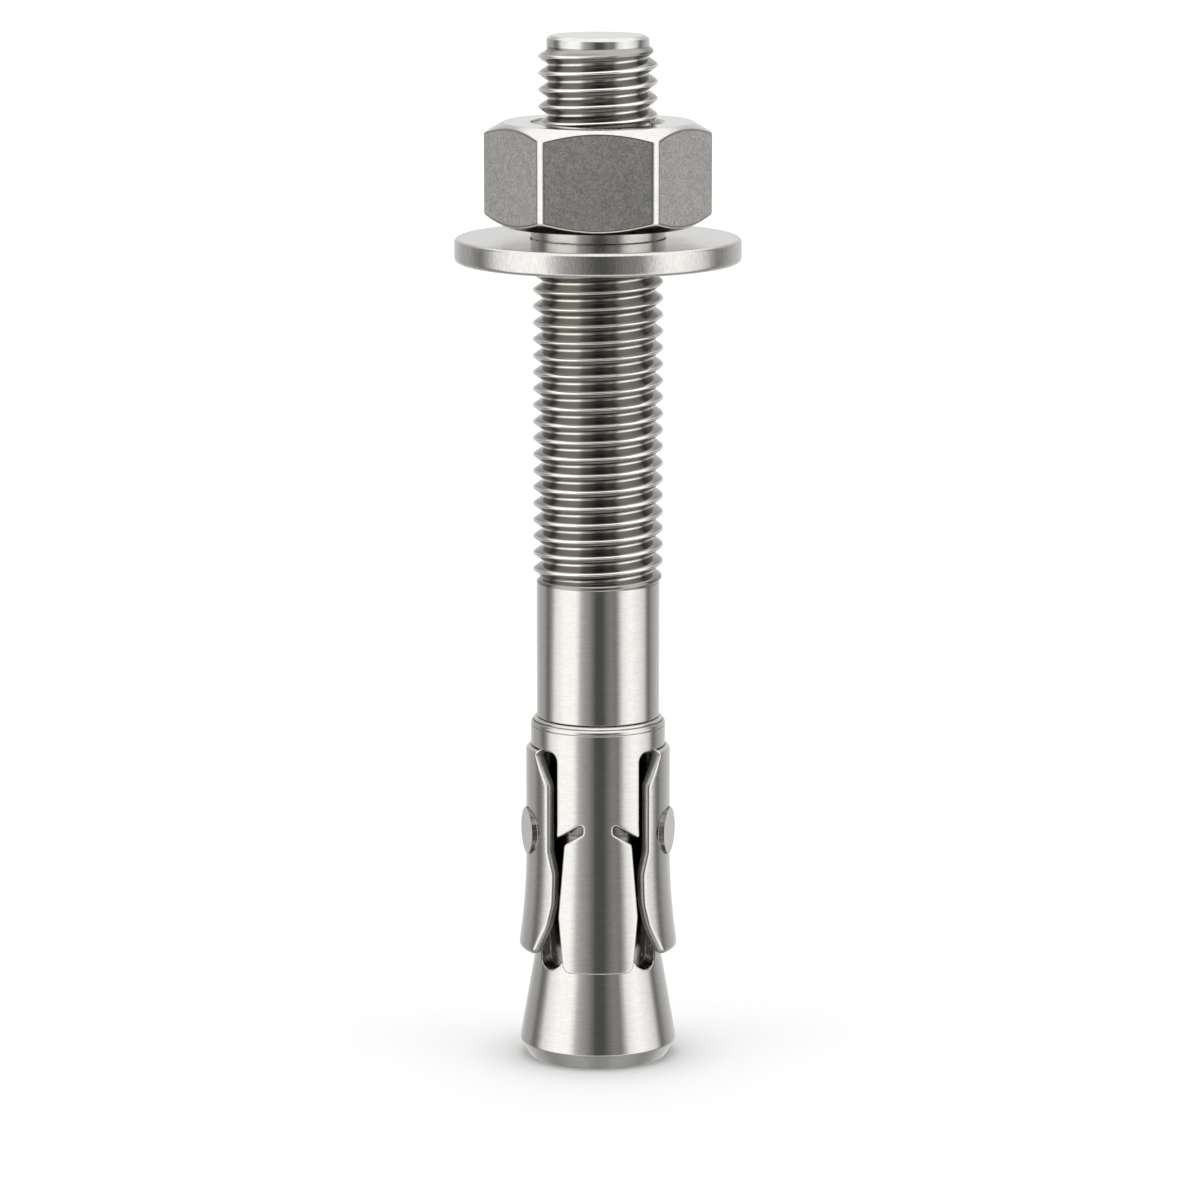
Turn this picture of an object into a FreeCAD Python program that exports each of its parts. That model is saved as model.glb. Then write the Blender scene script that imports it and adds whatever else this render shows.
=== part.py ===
import FreeCAD, Part
import math
import os

from FreeCAD import Vector

# A wedge anchor of nominal size M16 x 125, standing on its cone end, in millimetres.
# +Z runs up the axis from the flat end of the cone to the threaded end, and -Y is the front.

# Stud: heights along the axis, from the flat end of the cone
stud_length = 125.0
foot_chamfer_height = 2.0
shoulder_height = 42.5
thread_start = 59.4
tip_length = 1.4

# Stud: radii
foot_radius = 8.4
cone_radius = 9.57
cone_half_angle = 9.85
neck_radius = 6.3
shank_radius = 7.45
thread_radius = 7.9
tip_radius = 6.45

# Stud: edges
shoulder_chamfer = 0.25
thread_runout = 0.5
tip_chamfer = 0.5

# Stud: four U-shaped flutes milled into the top of the cone, one behind each slit of the clip
flute_width = 4.2
flute_floor = 11.75
flute_angle = 49.5

# Clip: pressed from one sheet and rolled round the neck
sheet = 1.3
ring_radius = 8.18
ring_length = 3.5
ring_top_gap = 0.2
ring_roll_depth = 0.7
ring_roll_height = 0.9
seam_gap = 0.5
seam_angle = 137.0

# Clip: front and back panels, with a tongue below each bend line
panel_half_width = 5.45
panel_corner = 1.1
bend_height = 29.85
tongue_root_half_width = 4.3
tongue_hip_half_width = 4.78
tongue_hip_height = 18.8
tongue_tip_half_width = 3.9
tongue_tip_height = 12.0
tongue_tip_radius = 9.37
tongue_corner = 1.0

# Clip: slanting slots beside the bend line
slot_bridge_half_width = 1.85
slot_width = 1.1
slot_slope = 30.0

# Clip: side leaves, set outwards from the ring by a joggle
leaf_step = 0.6
joggle_height = 0.6
leaf_top_half_width = 4.4
leaf_top_slant = 3.4
slit_width = 0.78
hip_slit_width = 1.08
leaf_hip_start = 26.6
leaf_hip_top = 23.9
leaf_hip_bottom = 20.2
leaf_foot_height = 13.5
leaf_foot_half_width = 4.95
leaf_foot_rise = 3.9
leaf_foot_taper = 0.62
leaf_flare_start = 24.0
leaf_foot_radius = 9.78
leaf_flare_bulge = 0.3
leaf_corner = 1.2
leaf_foot_chamfer = 0.4

# Clip: round button pressed out of each leaf, with a dimple behind it
button_angle = 76.5
button_height = 28.4
button_base_radius = 3.05
button_face_radius = 2.5
button_rise = 0.2
dimple_radius = 2.2
dimple_depth = 0.5

# Nut
nut_across_flats = 24.0
nut_height = 12.4
nut_corner_rounding = 0.8
nut_face_radius = 11.4
nut_chamfer_angle = 30.0
nut_bore_clearance = 0.06
nut_mouth_radius = 8.7
end_projection = 10.3

# Washer
washer_radius = 17.25
washer_thickness = 2.9
washer_clearance = 0.35
washer_chamfer = 0.4
washer_nut_gap = 1.5

# Size of the tools that cut the solids, kept well clear of what they leave
overrun = 5.0

# Rounded corners of the slits: chords in each, and the longest share of a straight run that one takes
arc_steps = 3
corner_share = 0.45


def point(radius, height):
    """Point of a half section in the XZ plane."""
    return Vector(radius, 0.0, height)


def revolve(section):
    """Solid turned about Z from a closed list of edges in the XZ plane."""
    wire = Part.Wire(Part.__sortEdges__(section))
    return Part.Face(wire).revolve(Vector(0, 0, 0), Vector(0, 0, 1), 360.0)


def lines(points):
    """Straight edges from each point to the next."""
    return [Part.LineSegment(a, b).toShape() for a, b in zip(points, points[1:])]


def turned(points):
    """Solid turned about Z from a closed polygon."""
    return revolve(lines(points + points[:1]))


def rounded(corners):
    """Closed outline in the flat sheet: each corner is (across, height, radius of its rounding)."""
    outline = []
    for i, (x, z, radius) in enumerate(corners):
        here = Vector(x, z, 0)
        before = Vector(corners[i - 1][0], corners[i - 1][1], 0) - here
        after = Vector(corners[(i + 1) % len(corners)][0], corners[(i + 1) % len(corners)][1], 0) - here
        if radius == 0:
            outline.append(here)
            continue
        half = before.getAngle(after) / 2
        setback = min(radius / math.tan(half), corner_share * before.Length, corner_share * after.Length)
        start = here + before.normalize() * setback
        end = here + after.normalize() * setback
        for step in range(arc_steps + 1):
            t = step / arc_steps
            outline.append(start * (1 - t) ** 2 + here * (2 * t * (1 - t)) + end * t ** 2)
    return outline


def cone_height(radius):
    """Height at which the cone has this radius."""
    return foot_chamfer_height + (cone_radius - radius) / math.tan(math.radians(cone_half_angle))


def anchor_stud():
    """Stud turned from one bar: cone, neck for the clip, shank and the plain body of the thread."""
    tip_start = stud_length - tip_length
    stud = turned([
        point(0, 0),
        point(foot_radius, 0),
        point(cone_radius, foot_chamfer_height),
        point(neck_radius, cone_height(neck_radius)),
        point(neck_radius, shoulder_height),
        point(shank_radius - shoulder_chamfer, shoulder_height),
        point(shank_radius, shoulder_height + shoulder_chamfer),
        point(shank_radius, thread_start - thread_runout),
        point(thread_radius, thread_start),
        point(thread_radius, tip_start - (thread_radius - tip_radius)),
        point(tip_radius, tip_start),
        point(tip_radius, stud_length - tip_chamfer),
        point(tip_radius - tip_chamfer, stud_length),
        point(0, stud_length),
    ])
    for turn in (flute_angle, -flute_angle, 180.0 - flute_angle, 180.0 + flute_angle):
        stud = stud.cut(flute(turn))
    return stud


def flute(turn):
    """U-shaped cutter that leaves the neck standing and opens the cone in front of it."""
    half = flute_width / 2
    centre = flute_floor + half
    top = cone_height(neck_radius) + overrun
    reach = cone_radius + overrun
    floor_arc = Part.Arc(Vector(-half, 0, centre), Vector(0, 0, flute_floor), Vector(half, 0, centre))
    corners = [(half, centre), (half, top), (-half, top), (-half, centre)]
    sides = lines([Vector(x, 0, z) for x, z in corners])
    outline = Part.Face(Part.Wire([floor_arc.toShape()] + sides))
    cutter = outline.extrude(Vector(0, -reach, 0))
    cutter = cutter.cut(Part.makeCylinder(neck_radius, top + overrun))
    cutter.rotate(Vector(0, 0, 0), Vector(0, 0, 1), turn)
    return cutter


def ring_top():
    """Height of the clip's top edge, just under the shoulder of the stud."""
    return shoulder_height - ring_top_gap


def ring_bottom():
    """Height at which the ring ends and the leaves step outwards."""
    return ring_top() - ring_length


def panel_shell():
    """Sheet of the ring, the two panels and their tongues, bent outwards below the bend line.

    The ring's top edge is rolled over, in two facets."""
    inner = ring_radius - sheet
    eighth = math.sin(math.radians(45.0))
    return turned([
        point(ring_radius - ring_roll_depth * (1 - eighth), ring_top() - ring_roll_height * (1 - eighth)),
        point(ring_radius - ring_roll_depth, ring_top()),
        point(inner, ring_top()),
        point(inner, bend_height),
        point(tongue_tip_radius - sheet, tongue_tip_height),
        point(tongue_tip_radius, tongue_tip_height),
        point(ring_radius, bend_height),
        point(ring_radius, ring_top() - ring_roll_height),
    ])


def leaf_shell():
    """Sheet of the leaves: a round shoulder under the ring, a straight run, then a flare to the foot."""
    leaf_radius = ring_radius + leaf_step
    eighth = math.sin(math.radians(45.0))
    low = ring_bottom() - joggle_height
    flare_middle = (leaf_flare_start + leaf_foot_height) / 2
    bulge = leaf_flare_bulge * (leaf_foot_radius - leaf_radius)

    def wall(offset):
        """The sheet's face at this offset inwards, from the ring's bottom edge to the foot."""
        curve = Part.BSplineCurve()
        curve.interpolate(
            [
                point(leaf_radius - offset, leaf_flare_start),
                point(leaf_radius - offset + bulge, flare_middle),
                point(leaf_foot_radius - offset, leaf_foot_height),
            ],
            InitialTangent=Vector(0, 0, -1),
            FinalTangent=Vector(leaf_foot_radius - leaf_radius, 0, leaf_foot_height - leaf_flare_start),
        )
        straight = [
            point(ring_radius - offset, ring_bottom()),
            point(ring_radius - offset + leaf_step * eighth, ring_bottom() - joggle_height * (1 - eighth)),
            point(leaf_radius - offset, low),
            point(leaf_radius - offset, leaf_flare_start),
        ]
        return lines(straight) + [curve.toShape()]

    ends = []
    for radius, height in ((ring_radius, ring_bottom()), (leaf_foot_radius, leaf_foot_height)):
        ends += lines([point(radius, height), point(radius - sheet, height)])
    chamfer = turned([
        point(leaf_foot_radius - leaf_foot_chamfer, leaf_foot_height),
        point(leaf_foot_radius + overrun, leaf_foot_height),
        point(leaf_foot_radius + overrun, leaf_foot_height + leaf_foot_chamfer + overrun),
    ])
    return revolve(wall(0) + wall(sheet) + ends).cut(chamfer)


def sector(middle, half_angle, shell):
    """The part of a shell within half_angle of the direction middle, with 0 at the front."""
    reach = leaf_foot_radius + overrun
    wedge = Part.makeCylinder(reach, stud_length, Vector(0, 0, 0), Vector(0, 0, 1), 2 * half_angle)
    wedge.rotate(Vector(0, 0, 0), Vector(0, 0, 1), middle - half_angle - 90.0)
    return shell.common(wedge)


def flat_across(angle):
    """Width in the flat sheet that this angle becomes once the sheet is rolled."""
    return ring_radius * math.radians(angle)


def slot_edge(across):
    """Height of the slanting slot's upper edge at this distance from the panel's middle."""
    slope = math.tan(math.radians(slot_slope))
    return bend_height + slot_width / 2 - (across - slot_bridge_half_width) * slope


def slit_outline():
    """Opening between one panel and the next leaf, in the flat sheet, measured from the panel's middle."""
    leaf_middle = flat_across(90.0)
    leaf_edge = panel_half_width + slit_width
    slot_drop = slot_width / math.cos(math.radians(slot_slope))
    leaf_hip = tongue_root_half_width + hip_slit_width
    leaf_top = ring_bottom() - joggle_height
    foot_corner = leaf_middle - leaf_foot_half_width
    under = tongue_tip_height - overrun
    return rounded([
        (leaf_middle - leaf_top_half_width, ring_bottom(), 0),
        (panel_half_width, ring_bottom(), panel_corner),
        (panel_half_width, slot_edge(panel_half_width), 0),
        (slot_bridge_half_width, slot_edge(slot_bridge_half_width), slot_width / 2),
        (slot_bridge_half_width, slot_edge(slot_bridge_half_width) - slot_drop, slot_width / 2),
        (tongue_root_half_width, slot_edge(tongue_root_half_width) - slot_drop, slot_width / 2),
        (tongue_hip_half_width, tongue_hip_height, tongue_corner),
        (tongue_tip_half_width, tongue_tip_height, tongue_corner),
        (slot_bridge_half_width, tongue_tip_height, 0),
        (slot_bridge_half_width, under, 0),
        (leaf_middle, under, 0),
        (leaf_middle, leaf_foot_height, 0),
        (foot_corner, leaf_foot_height, leaf_corner),
        (leaf_hip + leaf_foot_taper, leaf_foot_height + leaf_foot_rise, leaf_corner),
        (leaf_hip, leaf_hip_bottom, leaf_corner),
        (leaf_hip, leaf_hip_top, leaf_corner),
        (leaf_edge, leaf_hip_start, leaf_corner),
        (leaf_edge, leaf_top - leaf_top_slant, leaf_corner),
        (leaf_middle - leaf_top_half_width, leaf_top, 0),
    ])


def slit():
    """Cutter for one slit, whose walls all run towards the axis, as in a sheet cut flat and rolled.

    It is lofted between two flat copies of the outline, as the rays through it meet two planes."""
    outline = slit_outline()
    middle = 45.0
    wires = []
    for distance in (ring_radius / 2, leaf_foot_radius + overrun):
        corners = []
        for corner in outline:
            angle = corner.x / ring_radius - math.radians(middle)
            corners.append(Vector(distance * math.tan(angle), -distance, corner.y))
        wires.append(Part.makePolygon(corners + corners[:1]))
    cutter = Part.makeLoft(wires, True, True)
    cutter.rotate(Vector(0, 0, 0), Vector(0, 0, 1), middle)
    return cutter


def button(side):
    """Button on a leaf, as the pressed-out disc to add and the dimple to take away behind it."""
    outer = ring_radius + leaf_step
    inner = outer - sheet
    start = inner + dimple_depth
    outward = Vector(side * math.sin(math.radians(button_angle)), -math.cos(math.radians(button_angle)), 0)
    centre = Vector(0, 0, button_height)
    disc = Part.makeCone(
        button_base_radius,
        button_face_radius,
        outer + button_rise - start,
        centre + outward * start,
        outward,
    )
    dimple = Part.makeCylinder(dimple_radius, start - neck_radius, centre + outward * neck_radius, outward)
    return disc, dimple


def expansion_clip():
    """One-piece clip: a ring open at its seam, two panels with tongues and two joggled leaves.

    Panels and leaves meet inside the slits: under the ring beside the panel's rounded corner, then
    beside the panel, and beside the tongue below the slot."""
    reach = leaf_foot_radius + overrun
    panels = panel_shell()
    leaves = leaf_shell()
    ring = panels.common(Part.makeCylinder(reach, stud_length, Vector(0, 0, ring_bottom())))
    notch = slot_edge(panel_half_width) - slot_width / 4
    corner = ring_bottom() - panel_corner - joggle_height / 2
    beside_tongue = tongue_root_half_width + hip_slit_width / 2
    beside_panel = panel_half_width + slit_width / 2
    beside_corner = panel_half_width + panel_corner + slit_width
    pieces = []
    for foot, top, across in (
        (0.0, notch, beside_tongue),
        (notch, corner, beside_panel),
        (corner, ring_bottom(), beside_corner),
    ):
        split = math.degrees(across / ring_radius)
        level = Part.makeCylinder(reach, top - foot, Vector(0, 0, foot))
        for middle in (0.0, 180.0):
            pieces.append(sector(middle, split, panels).common(level))
        for middle in (90.0, 270.0):
            pieces.append(sector(middle, 90.0 - split, leaves).common(level))
    clip = ring.fuse(pieces)
    front_right = slit()
    for cutter in (front_right, front_right.mirror(Vector(0, 0, 0), Vector(1, 0, 0))):
        clip = clip.cut(cutter)
        clip = clip.cut(cutter.mirror(Vector(0, 0, 0), Vector(0, 1, 0)))
    for side in (-1, 1):
        disc, dimple = button(side)
        clip = clip.fuse(disc).cut(dimple)
    seam = Part.makeBox(seam_gap, ring_radius + overrun, ring_length + overrun)
    seam.translate(Vector(-seam_gap / 2, -ring_radius - overrun, ring_bottom() - overrun / 2))
    seam.rotate(Vector(0, 0, 0), Vector(0, 0, 1), seam_angle)
    return clip.cut(seam).removeSplitter()


def nut_bottom():
    """Height of the nut's underside on the stud."""
    return stud_length - end_projection - nut_height


def hex_nut():
    """Hexagon nut with chamfered corners and a bore with a chamfered mouth at each end."""
    corner_radius = nut_across_flats / 2 / math.cos(math.radians(30.0))
    corners = []
    for i in range(7):
        angle = math.radians(60.0 * i)
        corners.append(Vector(corner_radius * math.cos(angle), corner_radius * math.sin(angle), 0))
    prism = Part.Face(Part.makePolygon(corners)).extrude(Vector(0, 0, nut_height))
    upright = [edge for edge in prism.Edges if abs(edge.Vertexes[0].Z - edge.Vertexes[1].Z) > nut_height / 2]
    prism = prism.makeFillet(nut_corner_rounding, upright)
    drop = (corner_radius - nut_face_radius) * math.tan(math.radians(nut_chamfer_angle))
    chamfers = turned([
        point(0, 0),
        point(nut_face_radius, 0),
        point(corner_radius, drop),
        point(corner_radius, nut_height - drop),
        point(nut_face_radius, nut_height),
        point(0, nut_height),
    ])
    bore = thread_radius + nut_bore_clearance
    mouth = nut_mouth_radius - bore
    hole = turned([
        point(0, -overrun),
        point(nut_mouth_radius + overrun, -overrun),
        point(bore, mouth),
        point(bore, nut_height - mouth),
        point(nut_mouth_radius + overrun, nut_height + overrun),
        point(0, nut_height + overrun),
    ])
    nut = prism.common(chamfers).cut(hole)
    nut.translate(Vector(0, 0, nut_bottom()))
    return nut


def flat_washer():
    """Flat washer with its rim chamfered on both faces."""
    bore = thread_radius + washer_clearance
    washer = turned([
        point(bore, 0),
        point(washer_radius - washer_chamfer, 0),
        point(washer_radius, washer_chamfer),
        point(washer_radius, washer_thickness - washer_chamfer),
        point(washer_radius - washer_chamfer, washer_thickness),
        point(bore, washer_thickness),
    ])
    washer.translate(Vector(0, 0, nut_bottom() - washer_nut_gap - washer_thickness))
    return washer


os.makedirs("parts", exist_ok=True)
anchor_stud().exportStep("parts/anchor_stud.step")
expansion_clip().exportStep("parts/expansion_clip.step")
hex_nut().exportStep("parts/hex_nut.step")
flat_washer().exportStep("parts/flat_washer.step")
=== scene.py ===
import math

import bmesh
import bpy
import numpy as np
from mathutils import Matrix, Vector
from mathutils.geometry import delaunay_2d_cdt


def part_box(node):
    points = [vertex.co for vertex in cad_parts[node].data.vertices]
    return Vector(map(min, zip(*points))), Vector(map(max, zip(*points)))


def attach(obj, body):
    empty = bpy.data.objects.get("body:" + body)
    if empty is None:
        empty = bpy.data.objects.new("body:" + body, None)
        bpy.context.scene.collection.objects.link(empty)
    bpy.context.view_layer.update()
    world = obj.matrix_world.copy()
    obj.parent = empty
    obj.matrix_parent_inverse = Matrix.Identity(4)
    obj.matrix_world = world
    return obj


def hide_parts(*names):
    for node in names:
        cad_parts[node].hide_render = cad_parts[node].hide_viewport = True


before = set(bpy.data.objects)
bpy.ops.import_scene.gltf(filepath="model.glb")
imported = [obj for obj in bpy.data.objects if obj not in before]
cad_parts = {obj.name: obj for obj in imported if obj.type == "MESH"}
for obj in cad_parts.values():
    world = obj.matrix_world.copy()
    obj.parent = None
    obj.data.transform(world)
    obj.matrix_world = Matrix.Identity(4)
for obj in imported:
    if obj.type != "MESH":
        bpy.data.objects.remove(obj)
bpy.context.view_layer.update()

# The stud: one bar of stainless steel, turned down to the shank, the neck and the cone, bright and
# finely brushed round its axis. The thread is rolled on, so its crests stand above the shank, and four
# flutes are milled into the top of the cone.
MM = 0.001
COLUMNS = 120


class Wire:
    """One output of a node. Sums and products of these add the Math nodes that work them out."""

    def __init__(self, tree, socket=None):
        self.tree = tree
        self.socket = socket

    def node(self, kind, settings=None, inputs=None, output=0):
        """Adds a node, sets it up, feeds its inputs with values or wires and gives one output."""
        made = self.tree.nodes.new(kind)
        for name, value in (settings or {}).items():
            if name == "stops":
                made.color_ramp.elements.remove(made.color_ramp.elements[1])
                made.color_ramp.elements[0].position = value[0][0]
                for place, _ in value[1:]:
                    made.color_ramp.elements.new(place)
                for stop, (_, shade) in zip(made.color_ramp.elements, value):
                    stop.color = (shade, shade, shade, 1.0)
            else:
                setattr(made, name, value)
        for key, value in (inputs or {}).items():
            if isinstance(value, Wire):
                self.tree.links.new(value.socket, made.inputs[key])
            else:
                made.inputs[key].default_value = value
        return Wire(self.tree, made.outputs[output]) if made.outputs else None

    def math(self, operation, *values):
        return self.node("ShaderNodeMath", {"operation": operation}, dict(enumerate(values)))

    def smooth(self, low, high, top=1.0):
        """Grows smoothly from 0 to top as this value goes from low to high."""
        return self.node("ShaderNodeMapRange", {"interpolation_type": "SMOOTHSTEP"}, {
            "Value": self,
            "From Min": low,
            "From Max": high,
            "To Max": top,
        })

    def __add__(self, other):
        return self.math("ADD", self, other)

    def __sub__(self, other):
        return self.math("SUBTRACT", self, other)

    def __rsub__(self, other):
        return self.math("SUBTRACT", other, self)

    def __mul__(self, other):
        return self.math("MULTIPLY", self, other)

    def __truediv__(self, other):
        return self.math("DIVIDE", self, other)

    __radd__ = __add__
    __rmul__ = __mul__


def brushed(grain, waver=0.6):
    """Height of fine brushing: a noise of this many lines a metre along X, Y and Z, with specks in it."""
    def height(start, place):
        drawn = start.node("ShaderNodeVectorMath", {"operation": "MULTIPLY"}, {0: place, 1: grain})
        lines = start.node("ShaderNodeTexNoise", {}, {
            "Vector": drawn,
            "Scale": 1.0,
            "Detail": 3.0,
            "Roughness": 0.6,
            "Distortion": waver,
        })
        specks = start.node("ShaderNodeTexNoise", {}, {"Vector": place, "Scale": 1400.0, "Detail": 2.0})
        return lines * 0.7 + specks * 0.3
    return height


def mixed(start, share, first, second):
    """Colour between two others. A Mix node has its colours in sockets 6 and 7 and its result in 2."""
    return start.node("ShaderNodeMix", {"data_type": "RGBA"}, {0: share, 6: first, 7: second}, 2)


def steel(name, tint, roughness, spread, pattern, depth, contrast=0.06, painted_shade=None):
    """Bare stainless steel. The pattern's height shows in the relief, the colour and the gloss.

    The last argument gives where shade is painted into the metal's colour, darkening it, and how much of its
    colour it keeps there."""
    made = bpy.data.materials.new(name)
    made.use_nodes = True
    tree = made.node_tree
    tree.nodes.clear()
    start = Wire(tree)
    place = start.node("ShaderNodeTexCoord", output="Object")
    height = pattern(start, place)
    bump = start.node("ShaderNodeBump", {}, {"Strength": 1.0, "Distance": depth, "Height": height}, "Normal")
    patches = start.node("ShaderNodeTexNoise", {}, {"Vector": place, "Scale": 160.0, "Detail": 2.0})
    gloss = roughness + spread * (0.6 * patches + 0.4 * height - 0.5)
    share = start.node("ShaderNodeMapRange", {}, {"Value": height, "From Min": 0.36, "From Max": 0.64})
    dark = [value * (1 - contrast) for value in tint]
    light = [value * (1 + contrast) for value in tint]
    colour = mixed(start, share, (*dark, 1.0), (*light, 1.0))
    # Painted shade: where the mask says, the colour is darkened to the given share of the tint.
    if painted_shade:
        mask, kept = painted_shade
        shade_tint = [value * kept for value in tint]
        colour = mixed(start, mask(start, place), colour, (*shade_tint, 1.0))
    surface = start.node("ShaderNodeBsdfPrincipled", {}, {
        "Base Color": colour,
        "Metallic": 1.0,
        "Roughness": gloss,
        "Normal": bump,
    })
    start.node("ShaderNodeOutputMaterial", {}, {"Surface": surface})
    return made


THREAD_CREST = 7.9 * MM
THREAD_DEPTH = 1.24 * MM
STUB_NARROWING = 0.7 * MM
NARROWING_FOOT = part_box("hex_nut")[0].z + 2.0 * MM
NARROWING_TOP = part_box("hex_nut")[1].z - 1.0 * MM


def shaded_thread_flanks(start, place):
    """Mask of the thread's flanks, painted darker than its crests and roots as the shade in the thread's
    grooves.
    """
    level = start.node("ShaderNodeVectorMath", {"operation": "MULTIPLY"}, {0: place, 1: (1.0, 1.0, 0.0)})
    radius = start.node("ShaderNodeVectorMath", {"operation": "LENGTH"}, {0: level}, "Value")
    up = start.node("ShaderNodeSeparateXYZ", {}, {0: place}, "Z")
    narrowing = up.smooth(NARROWING_FOOT, NARROWING_TOP, STUB_NARROWING)
    down = (THREAD_CREST - narrowing - radius) / THREAD_DEPTH
    return down.smooth(0.06, 0.17) * down.smooth(0.97, 0.88)


BARE_STEEL = (0.665, 0.652, 0.625)
turned_steel = steel("turned_steel", BARE_STEEL, 0.09, 0.06, brushed((600.0, 600.0, 7000.0)), 0.006 * MM)
# The thread's steel is lighter than the bar's, and its flanks are painted darker, as the shade in its
# grooves.
shaded_thread_steel = steel(
    "rolled_steel_shaded_flanks", (0.86, 0.835, 0.785), 0.11, 0.06, brushed((300.0, 300.0, 5000.0)), 0.002 * MM, 0.05,
    (shaded_thread_flanks, 0.4))
# The flutes' steel is rougher, as milled, and darker, as painted shade in the recesses.
shaded_flute_steel = steel(
    "shaded_flute_steel", (0.42, 0.41, 0.395), 0.24, 0.1, brushed((1200.0, 1200.0, 1200.0)), 0.004 * MM)
# Painted shade: this dark steel stands for the shade on the neck inside the clip, in the clip's creases and
# on its buttons' flanks.
shade_painted_steel = steel(
    "shade_painted_steel", (0.18, 0.172, 0.16), 0.2, 0.12, brushed((260.0, 260.0, 3000.0)), 0.012 * MM, 0.5)
CREST_END = 0.01
ROOT_START = 0.48
CREST_SHARPNESS = 1.25


def threaded_surface():
    """Geometry Nodes tree of a right-hand thread: a grid rolled into a tube and sheared along its helix.

    Each row of the grid follows the helix, so that crests and roots lie on whole rows. Both ends run out
    into a plain circle, and the rows beyond an end fall together there."""
    tree = bpy.data.node_groups.new("threaded_surface", "GeometryNodeTree")
    tree.interface.new_socket("Geometry", in_out="OUTPUT", socket_type="NodeSocketGeometry")
    for name in ("Helix foot", "Start", "End", "Pitch", "Crest radius", "Root radius",
                 "Start radius", "End radius", "Start run-out", "End run-out",
                 "Narrowing", "Narrowing foot", "Narrowing top"):
        tree.interface.new_socket(name, in_out="INPUT", socket_type="NodeSocketFloat")
    for name in ("Columns", "Rows a turn", "Turns"):
        tree.interface.new_socket(name, in_out="INPUT", socket_type="NodeSocketInt")
    tree.interface.new_socket("Finish", in_out="INPUT", socket_type="NodeSocketMaterial")
    start = Wire(tree)
    inputs = tree.nodes.new("NodeGroupInput")
    given = {socket.name: Wire(tree, socket) for socket in inputs.outputs if socket.name}
    grid = start.node("GeometryNodeMeshGrid", {}, {
        "Size X": 1.0,
        "Size Y": 1.0,
        "Vertices X": given["Columns"] + 1.0,
        "Vertices Y": given["Rows a turn"] * given["Turns"] + 1.0,
    })
    spot = start.node("GeometryNodeInputPosition")
    across = start.node("ShaderNodeSeparateXYZ", {}, {0: spot}, "X") + 0.5
    along = (start.node("ShaderNodeSeparateXYZ", {}, {0: spot}, "Y") + 0.5) * given["Turns"]
    helix = given["Helix foot"] + (along + across) * given["Pitch"]
    height = start.math("MINIMUM", start.math("MAXIMUM", helix, given["Start"]), given["End"])
    from_crest = start.math("PINGPONG", along, 0.5)
    down = start.node("ShaderNodeMapRange", {}, {
        "Value": from_crest,
        "From Min": CREST_END,
        "From Max": ROOT_START,
    })
    depth = given["Crest radius"] - given["Root radius"]
    ridge = given["Crest radius"] - start.math("POWER", down, CREST_SHARPNESS) * depth
    ridge = ridge - height.smooth(given["Narrowing foot"], given["Narrowing top"], given["Narrowing"])
    low = start.node("ShaderNodeClamp", {}, {"Value": (height - given["Start"]) / given["Start run-out"]})
    high = start.node("ShaderNodeClamp", {}, {"Value": (given["End"] - height) / given["End run-out"]})
    radius = given["Start radius"] + low * (ridge - given["Start radius"])
    radius = given["End radius"] + high * (radius - given["End radius"])
    angle = across * (2 * math.pi)
    place = start.node("ShaderNodeCombineXYZ", {}, {
        "X": radius * start.math("COSINE", angle),
        "Y": radius * start.math("SINE", angle),
        "Z": height,
    })
    rolled = start.node("GeometryNodeSetPosition", {}, {"Geometry": grid, "Position": place})
    closed = start.node("GeometryNodeMergeByDistance", {}, {"Geometry": rolled, "Distance": 0.002 * MM})
    whole = start.node("GeometryNodeRealizeInstances", {}, {"Geometry": closed})
    finished = start.node("GeometryNodeSetMaterial", {}, {"Geometry": whole, "Material": given["Finish"]})
    start.node("NodeGroupOutput", {}, {0: finished})
    return tree


THREAD = threaded_surface()
ROWS_A_TURN = 22
PITCH = 2.0 * MM


def threaded(name, sizes):
    """Mesh that the thread tree makes with these sizes, in metres."""
    carrier = bpy.data.objects.new(name, bpy.data.meshes.new(name))
    bpy.context.scene.collection.objects.link(carrier)
    modifier = carrier.modifiers.new("thread", "NODES")
    modifier.node_group = THREAD
    for item in THREAD.interface.items_tree:
        if item.in_out == "INPUT":
            modifier[item.identifier] = sizes[item.name]
    graph = bpy.context.evaluated_depsgraph_get()
    mesh = bpy.data.meshes.new_from_object(carrier.evaluated_get(graph), depsgraph=graph)
    bpy.data.objects.remove(carrier)
    return mesh


def rounded(corners, steps=4, support=0.0):
    """Points of an outline whose corners (across, up, radius) are rounded by arcs of that radius.

    Where support is given, a point at that distance beside each arc keeps the straight runs even."""
    outline = []
    for i, (x, z, radius) in enumerate(corners):
        here = Vector((x, z))
        if radius == 0:
            outline.append(here)
            continue
        before = Vector(corners[i - 1][:2]) - here
        after = Vector(corners[(i + 1) % len(corners)][:2]) - here
        half = before.angle(after) / 2
        if half > math.radians(89.5):
            outline.append(here)
            continue
        setback = min(radius / math.tan(half), 0.48 * before.length, 0.48 * after.length)
        start = here + before.normalized() * setback
        end = here + after.normalized() * setback
        centre = here + (before.normalized() + after.normalized()).normalized() * (setback / math.cos(half))
        sweep = (start - centre).angle_signed(end - centre)
        if support and setback + support < 0.48 * before.length:
            outline.append(start + before.normalized() * support)
        for step in range(steps + 1):
            spoke = (start - centre).copy()
            spoke.rotate(Matrix.Rotation(-sweep * step / steps, 2))
            outline.append(centre + spoke)
        if support and setback + support < 0.48 * after.length:
            outline.append(end + after.normalized() * support)
    return outline


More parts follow.
